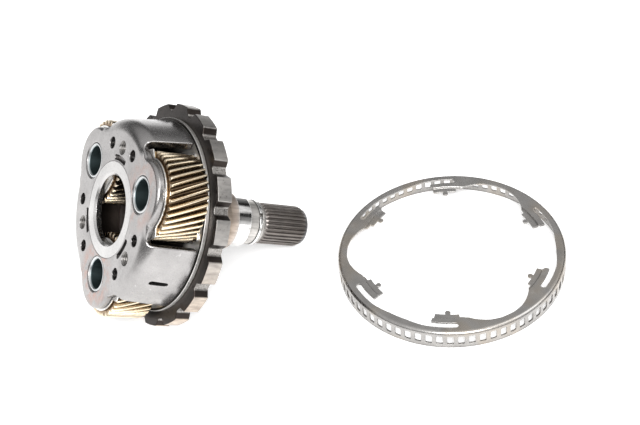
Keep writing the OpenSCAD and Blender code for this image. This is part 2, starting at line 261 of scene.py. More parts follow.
class Sheet:
    """Solid sheet with rounded edges, cut from a flat outline and bent by a place function.

    NUDGE is the move that slopes are measured over. Inner points stay CLEAR_OF_RIM from every edge.
    """
    EDGE_STEPS = 4
    NUDGE = 0.01
    CLEAR_OF_RIM = 0.45

    def __init__(self, place, thickness, outline, holes=(), front=0.4, back=0.3, spots=()):
        self.place = place
        self.thickness = thickness
        self.verts, self.faces, self.normals = [], [], []
        loops = [hole(outline, front, back), *holes]
        for i, loop in enumerate(loops):
            points = np.asarray(loop["points"], float)
            flip = (signed_area(points) > 0) != (i == 0)
            loop["points"] = points[::-1] if flip else points
            loop["order"] = -1 if flip else 1
        self.handed = 1
        if not self.front_is_up(loops[0]["points"][:1]):
            self.handed = -1
        for loop in loops:
            self.add_edge(loop)
        self.add_faces(loops, np.asarray(spots, float).reshape(-1, 2))

    def front_is_up(self, points):
        """True where the flat plane's own up side is the sheet's front."""
        down = self.place(points, np.full(1, 1.0)) - self.place(points, np.zeros(1))
        return float(np.sum(self.front_normals(points) * down)) < 0

    def slopes(self, points):
        """How the placed front moves with the flat plane's x and y."""
        zero = np.zeros(len(points))
        moved = [self.place(points + step, zero) - self.place(points - step, zero)
                 for step in self.NUDGE * np.eye(2)]
        return moved[0], moved[1]

    def front_normals(self, points):
        along_x, along_y = self.slopes(points)
        normal = np.cross(along_x, along_y)
        return self.handed * normal / np.linalg.norm(normal, axis=1)[:, None]

    def rim_normals(self, points, inset):
        """Outward direction along the sheet at a loop's points."""
        along_x, along_y = self.slopes(points)
        out = -(along_x * inset[:, :1] + along_y * inset[:, 1:])
        return out / np.linalg.norm(out, axis=1)[:, None]

    def add_verts(self, points, depth):
        start = len(self.verts)
        self.verts += list(self.place(points, np.broadcast_to(depth, len(points))))
        return np.arange(start, start + len(points))

    def add_face(self, corners, normals):
        if self.handed < 0:
            corners, normals = corners[::-1], normals[::-1]
        self.faces.append(tuple(int(c) for c in corners))
        self.normals += list(normals)

    def add_edge(self, loop):
        """Rounded rim of one loop, from the front to the back or to a pocket's floor."""
        points = loop["points"]
        inset = insets(points)
        front = np.broadcast_to(np.asarray(loop["front"], float), len(points))[::loop["order"]]
        back = np.broadcast_to(np.asarray(loop["back"], float), len(points))[::loop["order"]]
        facing = self.front_normals(points)
        outward = self.rim_normals(points, inset)
        depth = loop["pocket"] or self.thickness
        if loop["pocket"]:
            back = back * 0
        quarter = np.linspace(0, math.pi / 2, self.EDGE_STEPS + 1)
        levels = [(front * (1 - math.sin(a)), front * (1 - math.cos(a)), a) for a in quarter]
        below = quarter[:1] if loop["pocket"] else quarter
        levels += [(back * (1 - math.sin(a)), depth - back * (1 + math.cos(a)), a)
                   for a in below + math.pi / 2]
        rings, bends = [], []
        for shift, level, a in levels:
            rings.append(self.add_verts(points + inset * shift[:, None], level))
            bends.append(facing * math.cos(a) + outward * math.sin(a))
        step = np.roll(np.arange(len(points)), -1)
        for upper, lower, n0, n1 in zip(rings, rings[1:], bends, bends[1:]):
            for i, j in enumerate(step):
                self.add_face((upper[i], lower[i], lower[j], upper[j]), (n0[i], n1[i], n1[j], n0[j]))
        loop["flat"] = points + inset * front[:, None]
        loop["top"], loop["bottom"] = rings[0], rings[-1]
        if loop["pocket"]:
            loop["floor"] = rings[-1]
            loop["bottom"] = self.add_verts(loop["flat"], self.thickness)

    def add_faces(self, loops, spots):
        """Front and back faces, with the pockets' floors."""
        flat = [loop["flat"] for loop in loops]
        if len(spots):
            keep = inside(spots, flat[0])
            for ring in flat[1:]:
                keep &= ~inside(spots, ring)
            rim = np.concatenate(flat)
            near = np.array([np.min(np.sum((rim - s) ** 2, axis=1)) for s in spots[keep]])
            spots = spots[keep][near > self.CLEAR_OF_RIM ** 2]
        edges, start = [], 0
        for ring in flat:
            edges += [(start + i, start + (i + 1) % len(ring)) for i in range(len(ring))]
            start += len(ring)
        points = np.concatenate(flat + [spots])
        _, _, tris, origin, _, _ = delaunay_2d_cdt([Vector(p) for p in points], edges, [], 0, 1e-6)
        number = [o[0] for o in origin]
        tris = np.array([[number[v] for v in t] for t in tris])
        middles = points[tris].mean(axis=1)
        solid = inside(middles, flat[0])
        floor = np.full(len(tris), -1)
        for k, loop in enumerate(loops[1:], 1):
            within = inside(middles, flat[k])
            if loop["pocket"]:
                floor[within] = k
            else:
                solid &= ~within
        top = np.concatenate([loop["top"] for loop in loops] + [self.add_verts(spots, 0)])
        bottom = np.concatenate([loop["bottom"] for loop in loops]
                                + [self.add_verts(spots, self.thickness)])
        low = np.concatenate([loop.get("floor", loop["top"]) for loop in loops]
                             + [np.zeros(len(spots), int)])
        facing = self.front_normals(points)
        for tri, level in zip(tris[solid], floor[solid]):
            a, b = points[tri[1]] - points[tri[0]], points[tri[2]] - points[tri[0]]
            tri = tri if a[0] * b[1] > a[1] * b[0] else tri[::-1]
            self.add_face(low[tri] if level >= 0 else top[tri], facing[tri])
            self.add_face(bottom[tri][::-1], -facing[tri][::-1])

    def solid(self):
        return np.array(self.verts), self.faces, self.normals


def flat_place(front):
    """Places a flat sheet whose front faces down the axis, at z = front."""
    return lambda points, depth: np.column_stack((points, front + depth))


def smooth_step(x):
    x = np.clip(x, 0, 1)
    return x * x * (3 - 2 * x)


def cup_place(points, depth, flat_r, bend_r, turn):
    """Radius and height of a cup drawn from a flat disc: flat, then a bend, then a straight wall."""
    rho = np.hypot(points[:, 0], points[:, 1])
    beyond = np.maximum(rho - flat_r, 0)
    bent = np.minimum(beyond / bend_r, turn)
    along = np.maximum(beyond - bend_r * turn, 0)
    r = np.minimum(rho, flat_r) + (bend_r - depth) * np.sin(bent) + along * math.cos(turn)
    z = bend_r - (bend_r - depth) * np.cos(bent) + along * math.sin(turn)
    return rho, r, z


def piece(name, solid, place, material, body, nodes=()):
    """Makes one Blender object in the shared frame and ties it to its CAD body.

    Each vertex keeps its place in the part's own frame, in millimetres, for the materials.
    """
    verts, faces, normals = solid
    verts = np.asarray(verts, float)
    turn = np.array(place.to_3x3())
    mesh = bpy.data.meshes.new(name)
    mesh.from_pydata((verts * MM @ turn.T + place.translation).tolist(), [], faces)
    local = mesh.attributes.new("local_mm", "FLOAT_VECTOR", "POINT")
    local.data.foreach_set("vector", verts.astype(np.float32).ravel())
    mesh.materials.append(material)
    mesh.polygons.foreach_set("use_smooth", [True] * len(mesh.polygons))
    obj = bpy.data.objects.new(name, mesh)
    bpy.context.scene.collection.objects.link(obj)
    if normals is None:
        work = bmesh.new()
        work.from_mesh(mesh)
        bmesh.ops.recalc_face_normals(work, faces=work.faces)
        work.to_mesh(mesh)
        work.free()
        mesh.set_sharp_from_angle(angle=SHARP_ANGLE)
        obj.modifiers.new("even_shading", "WEIGHTED_NORMAL").keep_sharp = True
    else:
        mesh.normals_split_custom_set((np.array(normals) @ turn.T).tolist())
    if nodes:
        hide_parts(*nodes)
    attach(obj, body)
    return obj


# ---------------------------------------------------------------- cage
FRONT_Z = -40.8
PLATE_T = 5.4
PLATE_Z = FRONT_Z + PLATE_T
REAR_Z = -3
FLAT_R = 55
BEND_R = 10
LEG_REAR_R = 67.5
LEG_HALF = 26
WINDOW_HALF = 34
LOBE_R = 24.5
NOTCH_R = 61
PIN_HOLE_R = 12.85
PIN_HOLE_POINTS = 96
HUB_R = 34.3
TAPPED_CIRCLE_R = 45
LEG_DEPTH = REAR_Z - FRONT_Z - BEND_R
LEG_TURN = (math.atan2(LEG_DEPTH, LEG_REAR_R - FLAT_R)
            + math.asin(BEND_R / math.hypot(LEG_DEPTH, LEG_REAR_R - FLAT_R)))
LEG_LENGTH = (REAR_Z - FRONT_Z - BEND_R * (1 - math.cos(LEG_TURN))) / math.sin(LEG_TURN)
LEG_END = FLAT_R + BEND_R * LEG_TURN + LEG_LENGTH


def leg_share(points):
    """1 on a leg, 0 on a lobe, with a smooth change across the notch between them."""
    change = 10.5
    angle = np.degrees(np.arctan2(points[:, 1], points[:, 0]))
    from_leg = np.abs((angle - LEG_ANGLES[0] + 60) % 120 - 60)
    return 1 - smooth_step((from_leg - LEG_HALF) / change)


def cage_place(points, depth):
    rho, r, z = cup_place(points, depth, FLAT_R, BEND_R, LEG_TURN)
    share = leg_share(points)
    r = rho + (r - rho) * share
    z = FRONT_Z + depth + (z - depth) * share
    scale = r / np.maximum(rho, 1e-9)
    return np.column_stack((points * scale[:, None], z))


def window_side():
    """Half of the outline at one pin, from the lobe's outer end to the middle of the next leg."""
    lobe_fillet, leg_fillet, end_round = 3.5, 4, 0.9
    a = NOTCH_R + lobe_fillet
    b = LOBE_R + lobe_fillet
    cos_turn = (a * a + PIN_CIRCLE_R ** 2 - b * b) / (2 * a * PIN_CIRCLE_R)
    lobe_turn = math.degrees(math.acos(cos_turn))
    first = polar(a, lobe_turn)
    reach = math.degrees(math.atan2(first[1], first[0] - PIN_CIRCLE_R))
    leg_turn = WINDOW_HALF - math.degrees(math.asin(leg_fillet / (NOTCH_R + leg_fillet)))
    second = polar(NOTCH_R + leg_fillet, leg_turn)
    foot = math.sqrt((NOTCH_R + leg_fillet) ** 2 - leg_fillet ** 2)
    parts = [
        (arc((PIN_CIRCLE_R, 0), LOBE_R, 0, reach), 2.3),
        (arc(first, lobe_fillet, reach + 180, lobe_turn + 180, 6)[1:], 1.6),
        (arc((0, 0), NOTCH_R, lobe_turn, leg_turn)[1:], 1.3),
        (arc(second, leg_fillet, leg_turn + 180, WINDOW_HALF + 90, 6)[1:], 1.1),
        (subdivided([polar(foot + end_round, WINDOW_HALF), polar(LEG_END - end_round, WINDOW_HALF)],
                    end_round, closed=False), 0.9),
        (arc((0, 0), LEG_END, WINDOW_HALF + 0.6, 60, 1.3), 0.5),
    ]
    points = [p for line, _ in parts for p in line]
    rounds = [size for line, size in parts for _ in line]
    return points, rounds


def cage_outline():
    points, rounds = window_side()
    mirrored = [p * (1, -1) for p in points[::-1]]
    outline, sizes = [], []
    for angle in PIN_ANGLES:
        outline += turned(mirrored[1:-1] + points, angle)
        sizes += rounds[::-1][1:-1] + rounds
    return outline, sizes


def stadium(centre, degrees, length, width):
    """Slot with round ends, its length along a radius."""
    h, w = length / 2, width / 2
    fillet = w - 0.01
    corners = [(-h, -w, fillet), (h, -w, fillet), (h, w, fillet), (-h, w, fillet)]
    return turned([p + (centre, 0) for p in subdivided(rounded(corners), 1)], degrees)


def cage_spots():
    """Inner points that follow the bend and the legs."""
    spots = []
    bend_end = FLAT_R + BEND_R * LEG_TURN
    for rho in np.concatenate((np.arange(FLAT_R, bend_end + 1, 0.85),
                               np.arange(bend_end + 2.5, LEG_END - 1, 2.5))):
        spots += circle((0, 0), rho, 240)
    return spots


def pin_hole(angle):
    """Hole for a pin, with a wide round except where it comes close to the hub ring."""
    turn = np.arange(PIN_HOLE_POINTS) * 360 / PIN_HOLE_POINTS
    from_hub = np.abs((turn - angle) % 360 - 180)
    rounds = 0.3 + smooth_step((from_hub - 12) / 40)
    return hole(circle(polar(PIN_CIRCLE_R, angle), PIN_HOLE_R, PIN_HOLE_POINTS), front=rounds)


def cage_solid():
    outline, sizes = cage_outline()
    oil_slot_at = FLAT_R + BEND_R * LEG_TURN + 10.7
    holes = [hole(circle((0, 0), HUB_R, 180), front=0.25)]
    holes += [pin_hole(a) for a in PIN_ANGLES]
    tapped_r, plain_r, plain_circle_r, plain_turn = 4.9, 4.2, 47.3, 21.6
    pocket_half, pocket_in_r, pocket_out_r, pocket_fillet = 14, 35.2, 38.9, 1.2
    for leg in LEG_ANGLES:
        holes.append(hole(circle(polar(TAPPED_CIRCLE_R, leg), tapped_r), front=0.45))
        holes += [hole(circle(polar(plain_circle_r, leg + side * plain_turn), plain_r))
                  for side in (-1, 1)]
        low, high = leg - pocket_half, leg + pocket_half
        pocket = [(low, pocket_in_r, pocket_fillet), (low, pocket_out_r, pocket_fillet),
                  (high, pocket_out_r, pocket_fillet), (high, pocket_in_r, pocket_fillet)]
        holes.append(hole(around(pocket, 37, 1), front=0.35, pocket=2.6))
    holes.append(hole(stadium(oil_slot_at, LEG_ANGLES[0], 14, 4.3), front=0.35))
    return Sheet(cage_place, PLATE_T, outline, holes, front=np.array(sizes), back=0.4,
                 spots=cage_spots()).solid()


def thread_solid():
    """Threaded wall of a tapped hole."""
    crest, root, outside, pitch = 4.2, 4.82, 5.2, 1.5
    top, end = FRONT_Z + 0.5, PLATE_Z - 0.3
    count = int((end - top) / pitch)
    steps = [(crest if i % 2 else root, top + i * pitch / 2, 0.06) for i in range(2 * count + 1)]
    return lathe([(outside, top, 0), *steps, (root, end, 0), (outside, end, 0)], 72)


# ---------------------------------------------------------------- turned parts
JOURNAL_START = 53
JOURNAL_END = 65
GROOVE_Z = 73


def hub_ring_solid():
    outer, bore, lead_in = HUB_R - 0.12, 24.6, 1.5
    return lathe([(bore, PLATE_Z, 0.3), (outer, PLATE_Z, 0.3), (outer, FRONT_Z, 0.45),
                  (bore + lead_in, FRONT_Z, 0.2), (bore, FRONT_Z + 1.4, 0.2)])


def pin_solid():
    front, tail = FRONT_Z + 0.5, 5
    bore, mouth, outer = 10.4, 11.2, 12.78
    return lathe([(bore, front + 1, 0.2), (mouth, front, 0.2), (outer, front, 0.75),
                  (outer, tail, 0.8), (mouth, tail, 0.2), (bore, tail - 1, 0.2)], 144)


def rear_plate_solid():
    """Rim and boss, both with the three pin holes. The gear's bore hides the boss's edge."""
    bore_r, rim_r, boss_r, boss_t = 20.05, 69.5, 61.4, 6
    pins = [circle(polar(PIN_CIRCLE_R, a), PIN_HOLE_R, PIN_HOLE_POINTS) for a in PIN_ANGLES]
    layers = []
    for z, thick, r, edge in ((REAR_Z, -REAR_Z, rim_r, 0.5), (0, boss_t, boss_r, 0.2)):
        holes = [hole(circle((0, 0), bore_r, 120), front=0.3, back=0.3)]
        holes += [hole(points, front=0.2, back=0.2) for points in pins]
        layers.append(Sheet(flat_place(z), thick, circle((0, 0), r, 360), holes, edge, edge).solid())
    return joined(layers)


def shaft_solid():
    """Output shaft: one grid of rows along the shaft, so that the splines run out into its neck."""
    splines = 30
    places = (-0.5, -0.41, -0.36, -0.31, -0.24, -0.19, -0.12, 0, 0.12, 0.19, 0.24, 0.31, 0.36, 0.41)
    heights = (0, 0, 0.08, 0.3, 0.75, 0.96, 1, 1, 1, 0.96, 0.75, 0.3, 0.08, 0)
    turn = np.radians([(i + f) * 360 / splines for i in range(splines) for f in places])
    tooth = np.tile(heights, splines)
    root, tip, chamfer_z, end_z, end_r = 14.4, 15.5, 114, 118.5, 13.5
    bush_bore = [(0, 17, 0), (12, 17, 0.3), (12, REAR_Z, 0.3)]
    flange = [(20, REAR_Z, 0.5), (20, 6, 0), (33, 6, 0.4), (33, 10, 1), (29, 13, 3)]
    neck = [(25, 22, 6), (22.5, 34, 5), (21.4, 46, 1.5), (21.4, JOURNAL_START, 0.8)]
    journal = [(19, JOURNAL_START, 0.5), (19, JOURNAL_END, 0.7), (16.6, JOURNAL_END, 0.4)]
    groove = [(16.6, GROOVE_Z, 0.25), (14.8, GROOVE_Z, 0.2), (14.8, 76, 0.2), (16.6, 76, 0.25)]
    runout = [(16.6, 77.6, 0.4), (root, 79, 0.6), (root, 80, 0)]
    plain = rounded(bush_bore + flange + neck + journal + groove + runout, closed=False)
    rows = [(np.full(len(turn), r), z) for r, z in plain]
    for z, rise in ((80.4, 0.15), (80.9, 0.5), (81.5, 0.85), (82.2, 1), (92, 1), (102, 1),
                    (chamfer_z - 1, 1), (114.2, 1), (115, 1), (116, 1), (117, 1), (118.2, 1)):
        cone = tip - (tip - end_r) * max(0, z - chamfer_z) / (end_z - chamfer_z)
        rows.append((np.minimum(root + (tip - root) * tooth * rise, cone), z))
    end = [(end_r - 0.3, end_z), (3.6, end_z), (3.2, end_z - 0.5), (2.2, end_z - 7.5), (0, end_z - 8)]
    rows += [(np.full(len(turn), r), z) for r, z in end]
    cos, sin = np.cos(turn), np.sin(turn)
    grid = [np.column_stack((r * cos, r * sin, np.full(len(turn), z))) for r, z in rows]
    return grid_solid(grid, closed_rows=False)


def snap_ring_solid():
    """Split ring of square wire with its two ends a little apart."""
    inner, outer, wire, gap, half_gap = 14.9, 17.2, 2.2, 36, 4.7
    corners = [(gap + half_gap, inner, 0.45), (gap + half_gap, outer, 0.5),
               (gap + 360 - half_gap, outer, 0.5), (gap + 360 - half_gap, inner, 0.45)]
    outline = around(corners, 16, 0.8)
    return Sheet(flat_place(GROOVE_Z + 0.3), wire, outline, front=0.35, back=0.35).solid()


# ---------------------------------------------------------------- parking gear
def park_gear_solid():
    lands, outer_r, depth, width, bore_r = 17, 80, 5, 11, 60.55
    pitch = 360 / lands
    land_half, floor_half = pitch * 0.28, pitch * 0.44 * 0.18
    first = 180 - 7.5 * pitch
    corners = []
    for i in range(lands):
        a = first + i * pitch
        gap = a + pitch / 2
        corners += [(a - land_half, outer_r, 0.7), (a + land_half, outer_r, 0.7),
                    (gap - floor_half, outer_r - depth, 0.9), (gap + floor_half, outer_r - depth, 0.9)]
    outline = around(corners, 78, 1.2, full_turn=True)
    bore = hole(circle((0, 0), bore_r, 300), front=0.5, back=0.5)
    return Sheet(flat_place(0), width, outline, [bore], front=0.55, back=0.55).solid()


# ---------------------------------------------------------------- pinions and washers
PINION_FRONT = -33.45
PINION_L = 28.5
PINION_TWIST = 20.7
TEETH = 36
WASHER_T = 0.9


def pinion_solid():
    """Helical pinion with rounded tips, root fillets and chamfered tooth ends.

    Half a tooth is drawn from the middle of a gap up to its tip, in shares of the pitch.
    """
    tip = 30.29
    half = ((0.5, 26.74), (0.44, 26.76), (0.395, 26.95), (0.35, 27.35), (0.305, 27.85), (0.26, 28.45),
            (0.215, 29.1), (0.165, 29.75), (0.135, 30.08), (0.105, 30.24), (0.06, tip))
    tooth = [(-f, r) for f, r in half] + [(0, tip)] + [(f, r) for f, r in half[:0:-1]]
    turn = np.radians([(i + f) * 360 / TEETH for i in range(TEETH) for f, _ in tooth])
    radius = np.tile([r for _, r in tooth], TEETH)

    def row(r, z):
        twist = math.radians(-PINION_TWIST * (z - PINION_FRONT) / PINION_L)
        at = turn + twist
        return np.column_stack((r * np.cos(at), r * np.sin(at), np.full(len(turn), z)))

    front, back = PINION_FRONT, PINION_FRONT + PINION_L
    bore_r, bore_edge, face_r = 15.86, 0.6, 26.3
    end, bevel = np.minimum(radius, 29.3), np.minimum(radius, 29.9)
    rows = [row(end, front), row(bevel, front + 0.35)]
    rows += [row(radius, z) for z in np.linspace(front + 0.8, back - 0.8, 21)]
    rows += [row(bevel, back - 0.35), row(end, back), row(face_r, back)]
    rows += [row(bore_r + bore_edge, back), row(bore_r, back - bore_edge)]
    rows += [row(bore_r, front + bore_edge), row(bore_r + bore_edge, front), row(face_r, front)]
    return grid_solid(rows, closed_rows=True)


def needles_solid():
    """Full row of rollers with rounded ends, round a pin."""
    count, circle_r, r, length = 29, 14.33, 1.5, 24.5
    middle = PINION_FRONT + PINION_L / 2
    low, high = middle - length / 2, middle + length / 2
    one, faces, _ = lathe([(0, low, 0), (r, low, 0.3), (r, high, 0.3), (0, high, 0)], 20)
    at = [polar(circle_r, i * 360 / count) for i in range(count)]
    return joined([(one + (x, y, 0), faces, None) for x, y in at])


def bush_solid():
    bore, outer, front, back = 10, 11.98, -2.9, 16.9
    return lathe([(bore, front, 0.4), (outer, front, 0.3), (outer, back, 0.3), (bore, back, 0.4)], 120)


def washer_solid(z, r, ear):
    """Thrust washer with two ears that stand in the corners of the cage's window."""
    side = [(*p, 0) for p in arc((0, 0), r, 0, 60, 3)]
    side += [(10.3, r - 2.2, 2), (9.2, ear - 0.8, 1.2), (2.6, ear, 1.2), (-1, r + 0.7, 2.5)]
    side += [(*p, 0) for p in arc((0, 0), r, 100, 180, 3)]
    corners = side + [(x, -y, fillet) for x, y, fillet in side[-2:0:-1]]
    bore = hole(circle((0, 0), 13.1, 96), front=0.2, back=0.2)
    return Sheet(flat_place(z), WASHER_T, rounded(corners), [bore], front=0.25, back=0.25).solid()


# ---------------------------------------------------------------- sensor ring
RING_H = 14.6
RING_T = 1.3
RING_FLAT_R = 81.2
RING_BEND = 3
RING_OUT_R = RING_FLAT_R + RING_BEND
RING_END = RING_FLAT_R + RING_BEND * math.pi / 2 + RING_H - RING_BEND
WINDOWS = 69
WINDOW_H = 7.4
WINDOW_Z = 7.4
STEP_R = 69.9
STEP_DOWN = 1.2


def ring_place(points, depth):
    """Flange, rolled edge and band, with the tongues pressed down below the arms."""
    rho, r, z = cup_place(points, depth, RING_FLAT_R, RING_BEND, math.pi / 2)
    z = RING_H - z - STEP_DOWN * smooth_step((STEP_R - rho) / 0.9)
    scale = r / np.maximum(rho, 1e-9)
    return np.column_stack((points * scale[:, None], z))


def arm_corners():
    """Edge of the flange and one spring arm, from the middle of a pair to the middle between pairs."""
    nose = [(-1.4, 65, 0.3), (-1.4, 64.4, 0.3), (-2, 63.7, 0.6), (-2, 61.3, 1.9),
            (2, 61.3, 1.9), (2, 63.7, 0.6), (1.4, 64.4, 0.3), (1.4, 65, 0.3)]
    corners = [(5, 76.8, 10), (15, 78.2, 10), (33, 78.2, 1.95), (33, 74.2, 1.95), (18.2, 74.2, 0.7),
               (18.2, 70.4, 0.4), (19.1, 70.4, 0.35), (19.1, 65, 0.6)]
    corners += [(27 + math.degrees(x / 63), r, fillet) for x, r, fillet in nose]
    corners += [(34.2, 65, 0.6), (34.2, 67.6, 0.6), (37, 68, 2), (40.5, 70.8, 6), (45, 73.6, 10),
                (50, 76, 12), (56, 77.3, 12)]
    return corners


def ring_inner_edge():
    half = arm_corners()
    corners = []
    for k in range(3):
        corners += [(120 * k + a, r, fillet) for a, r, fillet in half]
        corners += [(120 * (k + 1) - a, r, fillet) for a, r, fillet in half[::-1]]
    return around(corners, 72, 1.2, full_turn=True)


def ring_window(i):
    """Square window with round corners in the band."""
    middle, half_h, half_w, fillet = RING_END - WINDOW_Z, WINDOW_H / 2, 2.3, 1
    a = (i + 0.5) * 360 / WINDOWS
    half_turn = math.degrees(half_w / RING_OUT_R)
    low, high = middle - half_h, middle + half_h
    corners = [(a - half_turn, low, fillet), (a + half_turn, low, fillet),
               (a + half_turn, high, fillet), (a - half_turn, high, fillet)]
    return around(corners, middle, 1.8)


def ring_spots():
    """Inner points on the rolled edge, near the band's end, between windows and at the step."""
    spots = []
    bend = np.linspace(RING_FLAT_R, RING_FLAT_R + RING_BEND * math.pi / 2, 8)
    for rho in (*bend, RING_END - 1.4, RING_END - 2.6):
        spots += circle((0, 0), rho, WINDOWS * 6)
    for i in range(WINDOWS):
        spots += [polar(RING_END - WINDOW_Z + y, i * 360 / WINDOWS) for y in (-3.7, -1.2, 1.2, 3.7)]
    for rho in np.arange(STEP_R - 1.2, STEP_R + 0.3, 0.22):
        spots += circle((0, 0), rho, 500)
    return spots


def sensor_ring_solid():
    outline = circle((0, 0), RING_END, WINDOWS * 6)
    holes = [hole(ring_inner_edge(), front=0.35, back=0.3)]
    holes += [hole(ring_window(i), front=0.22, back=0.22) for i in range(WINDOWS)]
    return Sheet(ring_place, RING_T, outline, holes, front=0.35, back=0.35,
                 spots=ring_spots()).solid()


# ---------------------------------------------------------------- material nodes
class Paint:
    """Short way to write the nodes of a material or world: each call returns a node's output."""
    NOISE_ROUGHNESS = 0.55

    def __init__(self, owner):
        owner.use_nodes = True
        self.owner = owner
        self.tree = owner.node_tree
        self.shader = self.tree.nodes.get("Principled BSDF")

    def put(self, socket, value):
        if isinstance(value, bpy.types.NodeSocket):
            self.tree.links.new(value, socket)
        else:
            socket.default_value = value

    def node(self, kind, output, inputs, **settings):
        made = self.tree.nodes.new(kind)
        for key, value in settings.items():
            setattr(made, key, value)
        for key, value in inputs.items():
            self.put(made.inputs[key], value)
        return made.outputs[output]

    def set(self, **values):
        for key, value in values.items():
            self.put(self.shader.inputs[key.replace("_", " ")], value)

    def noise(self, scale, detail=3, vector=None):
        return self.node("ShaderNodeTexNoise", "Fac",
                         {"Vector": vector or self.mm, "Scale": scale, "Detail": detail,
                          "Roughness": self.NOISE_ROUGHNESS})

    def stretch(self, x, y, z):
        return self.node("ShaderNodeVectorMath", 0, {0: self.mm, 1: (x, y, z)}, operation="MULTIPLY")

    def range(self, value, low, high, to_low=0.0, to_high=1.0):
        return self.node("ShaderNodeMapRange", 0,
                         {"Value": value, "From Min": low, "From Max": high, "To Min": to_low,
                          "To Max": to_high}, clamp=True)

    def math(self, operation, a, b=0.0):
        return self.node("ShaderNodeMath", 0, {0: a, 1: b}, operation=operation)

    def times(self, a, b):
        return self.math("MULTIPLY", a, b)

    def mix(self, share, a, b):
        made = self.tree.nodes.new("ShaderNodeMix")
        made.data_type = "RGBA"
        for index, value in ((0, share), (6, a), (7, b)):
            if index and not isinstance(value, bpy.types.NodeSocket):
                value = (*value, 1)
            self.put(made.inputs[index], value)
        return made.outputs[2]

    def axes(self, vector):
        made = self.tree.nodes.new("ShaderNodeSeparateXYZ")
        self.put(made.inputs[0], vector)
        return made.outputs[0], made.outputs[1], made.outputs[2]

    def radius(self):
        """Distance from the part's own axis, in millimetres."""
        x, y, _ = self.axes(self.mm)
        squares = self.math("ADD", self.times(x, x), self.times(y, y))
        return self.math("SQRT", squares)

    def facing(self, axis=2):
        """How far a carrier piece's surface faces along one axis of the carrier, from -1 to 1."""
        coords = self.tree.nodes.new("ShaderNodeTexCoord")
        direction = CARRIER.to_3x3().col[axis]
        return self.node("ShaderNodeVectorMath", "Value",
                         {0: coords.outputs["Normal"], 1: direction}, operation="DOT_PRODUCT")

    def inward(self):
        """How far a carrier piece's surface faces the shaft's axis, from -1 to 1."""
        x, y, _ = self.axes(self.mm)
        out = self.math("ADD", self.times(x, self.facing(0)), self.times(y, self.facing(1)))
        return self.math("DIVIDE", self.times(out, -1.0), self.radius())

    def crevice(self, reach):
        """0 in gaps narrower than reach millimetres and 1 on open faces."""
        return self.node("ShaderNodeAmbientOcclusion", "AO", {"Distance": reach * MM}, samples=4)

    def bump(self, height, strength, distance=0.05):
        return self.node("ShaderNodeBump", 0,
                         {"Height": height, "Strength": strength, "Distance": distance * MM})

    def ramp(self, value, stops):
        """Colour against value, from stops (place, colour)."""
        low, high = stops[0][0], stops[-1][0]
        made = self.tree.nodes.new("ShaderNodeValToRGB")
        self.put(made.inputs[0], self.range(value, low, high))
        ramp = made.color_ramp
        for i, (place, colour) in enumerate(stops):
            element = ramp.elements[i] if i < 2 else ramp.elements.new(1)
            element.position = (place - low) / (high - low)
            element.color = (*colour, 1)
        return made.outputs[0]


# Colour of dark oil and of painted shade in crevices.
DIRT_AND_SHADE = (0.035, 0.03, 0.026)


def metal(name, bright, dull, rough, spread=0.12, reach=5, grain=0.35, patch=0.05, dirt_and_shade=0.7):
    """Bare metal: cloudy colour, uneven polish, fine grain, and dark oil with painted shade in its
    crevices.
    """
    p = Paint(bpy.data.materials.new(name))
    p.set(Metallic=1)
    p.mm = p.node("ShaderNodeAttribute", "Vector", {}, attribute_name="local_mm")
    cloud = p.range(p.noise(patch, 4), 0.3, 0.7)
    colour = p.mix(cloud, dull, bright)
    # Painted shade: ambient occlusion darkens the colour in crevices and narrow gaps, for the shade there
    # as well as for dark oil.
    p.closed = p.range(p.crevice(reach), 0.35, 0.9, 1, 0)
    speck = p.range(p.noise(0.9, 3), 0.35, 0.75)
    p.colour = p.mix(p.times(p.closed, dirt_and_shade), colour, DIRT_AND_SHADE)
    fine = p.noise(2.2, 4)
    p.rough = p.math("ADD", p.range(speck, 0, 1, rough - spread / 2, rough + spread / 2),
                     p.times(p.closed, 0.2))
    p.set(Base_Color=p.colour, Roughness=p.rough, Normal=p.bump(fine, grain))
    return p


def carrier_steel():
    """Satin drawn steel, tinted pink and tan round two of its pins, with a few long scratches, and
    near-black painted shade inside the cage.
    """
    p = metal("carrier_steel_worn_shaded", (0.43, 0.417, 0.412), (0.31, 0.3, 0.297), 0.26, 0.14, reach=7,
              grain=0.16)
    x, y, z = p.axes(p.mm)
    front = p.range(p.facing(), -0.75, -0.95)
    tint = None
    for angle, strength in zip(PIN_ANGLES[:2], (0.45, 0.75)):
        at = polar(PIN_CIRCLE_R, angle)
        dx, dy = p.math("SUBTRACT", x, at[0]), p.math("SUBTRACT", y, at[1])
        away = p.math("SQRT", p.math("ADD", p.times(dx, dx), p.times(dy, dy)))
        near = p.times(p.range(away, 27, 19), strength)
        tint = near if tint is None else p.math("MAXIMUM", tint, near)
    patchy = p.range(p.noise(0.16, 3), 0.4, 0.62)
    share = p.times(p.times(tint, patchy), front)
    scratch = p.range(p.noise(0.5, 2, p.stretch(0.12, 2.4, 0.6)), 0.66, 0.72)
    colour = p.mix(share, p.colour, (0.42, 0.27, 0.23))
    colour = p.mix(p.times(scratch, 0.35), colour, (0.66, 0.65, 0.64))
    # Painted shade: the back of the front plate and the faces turned to the shaft's axis behind it are
    # made near black.
    behind = p.times(p.range(p.facing(), 0.3, 0.8), p.range(z, -37, -36))
    lining = p.times(p.range(p.inward(), 0.2, 0.6), p.range(z, -36, -33))
    inner_shade = p.math("MAXIMUM", lining, behind)
    p.set(Base_Color=p.mix(inner_shade, colour, (0.02, 0.016, 0.014)),
          Roughness=p.mix(inner_shade, p.rough, (0.5,) * 3))
    return p.owner


def turned_bump(p, lines, strength):
    """Fine tool marks round the part's axis."""
    r = p.radius()
    _, _, z = p.axes(p.mm)
    along = p.node("ShaderNodeCombineXYZ", 0, {0: p.times(r, lines), 2: p.times(z, lines)})
    p.set(Normal=p.bump(p.noise(1, 2, along), strength))


